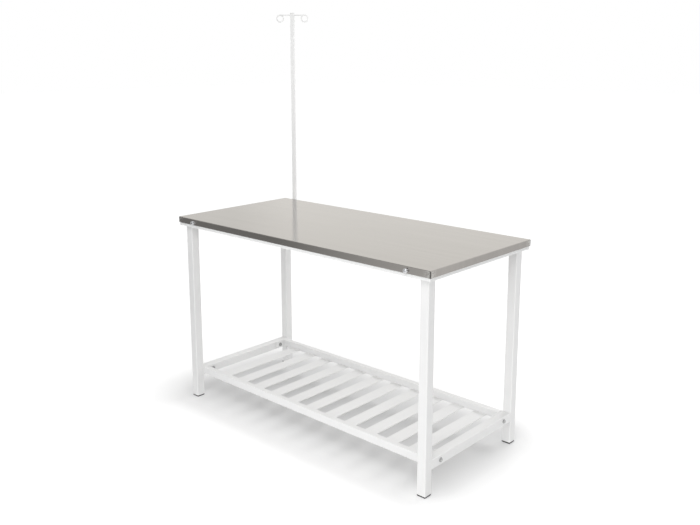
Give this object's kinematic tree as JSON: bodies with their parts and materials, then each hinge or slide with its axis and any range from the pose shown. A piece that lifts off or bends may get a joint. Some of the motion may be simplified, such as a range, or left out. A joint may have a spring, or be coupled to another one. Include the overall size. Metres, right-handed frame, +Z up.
{
  "type": "veterinary surgery table",
  "caption": "Free-standing clinic table with a stainless worktop, square white legs, a slatted lower shelf and a height-adjustable infusion pole with a double hook.",
  "frame": {"origin": "on the floor under the middle of the worktop", "axes": "+Z up, +X to the right along the length, -Y towards the front"},
  "size_m": [1.4196, 0.7395, 1.7563],
  "materials": {
    "stainless": "satin stainless sheet",
    "white_coat": "white powder coat",
    "chrome": "bright chrome",
    "zinc": "bright zinc plate",
    "black_plastic": "moulded black plastic",
    "white_plastic": "moulded white plastic",
    "nylon": "natural nylon"
  },
  "bodies": {
    "table": {"worktop": "stainless", "top_rail_front": "white_coat", "top_rail_rear": "white_coat", "top_rail_left": "white_coat", "top_rail_right": "white_coat", "top_cross_left": "white_coat", "top_cross_right": "white_coat", "leg_front_left": "white_coat", "leg_front_right": "white_coat", "leg_rear_left": "white_coat", "leg_rear_right": "white_coat", "foot_front_left": "black_plastic", "foot_front_right": "black_plastic", "foot_rear_left": "black_plastic", "foot_rear_right": "black_plastic", "shelf_end_rail_left": "white_coat", "shelf_end_rail_right": "white_coat", "shelf_rail_front": "white_coat", "shelf_rail_rear": "white_coat", "shelf_slat_01": "white_coat", "shelf_slat_02": "white_coat", "shelf_slat_03": "white_coat", "shelf_slat_04": "white_coat", "shelf_slat_05": "white_coat", "shelf_slat_06": "white_coat", "shelf_slat_07": "white_coat", "shelf_slat_08": "white_coat", "shelf_slat_09": "white_coat", "shelf_slat_10": "white_coat", "shelf_slat_11": "white_coat", "shelf_lug_front_left": "white_coat", "shelf_lug_front_right": "white_coat", "shelf_lug_rear_left": "white_coat", "shelf_lug_rear_right": "white_coat", "shelf_bolt_front_left": "zinc", "shelf_bolt_front_right": "zinc", "shelf_bolt_rear_left": "zinc", "shelf_bolt_rear_right": "zinc", "shelf_nut_front_left": "zinc", "shelf_nut_front_right": "zinc", "shelf_nut_rear_left": "zinc", "shelf_nut_rear_right": "zinc", "tie_down_stud_front_left": "chrome", "tie_down_stud_front_right": "chrome", "tie_down_stud_rear_left": "chrome", "tie_down_stud_rear_right": "chrome", "pole_bracket_upper": "white_coat", "pole_bracket_lower": "white_coat", "pole_socket": "white_coat", "socket_floor": "white_coat", "clamp_boss": "white_coat"},
    "bush": {"pole_bush": "nylon"},
    "pole": {"pole_tube": "white_coat", "pole_hook": "white_coat", "pole_top_cap": "white_plastic", "pole_bottom_plug": "black_plastic"},
    "clamp_pad": {"clamp_pad": "nylon"},
    "clamp_knob": {"clamp_screw": "zinc", "clamp_knob": "black_plastic"}
  },
  "joints": [
    {"name": "pole_swivel", "type": "hinge", "parent": "table", "child": "bush", "pos_m": [-0.6587, 0.3505, 0.8], "axis": [0, 0, 1], "continuous": true},
    {"name": "pole_height", "type": "slide", "parent": "bush", "child": "pole", "axis": [0, 0, 1], "range_m": [0, 0.12]},
    {"name": "clamp_advance", "type": "slide", "parent": "table", "child": "clamp_pad", "axis": [-1, 0, 0], "range_m": [0, 0.0025]},
    {"name": "clamp_turn", "type": "hinge", "parent": "clamp_pad", "child": "clamp_knob", "pos_m": [-0.6787, 0.3505, 0.745], "axis": [-1, 0, 0], "range_deg": [0, 720]}
  ],
  "couplings": [
    {"joint": "clamp_turn", "follows": "clamp_advance", "rad_per_m": 5026.5}
  ]
}
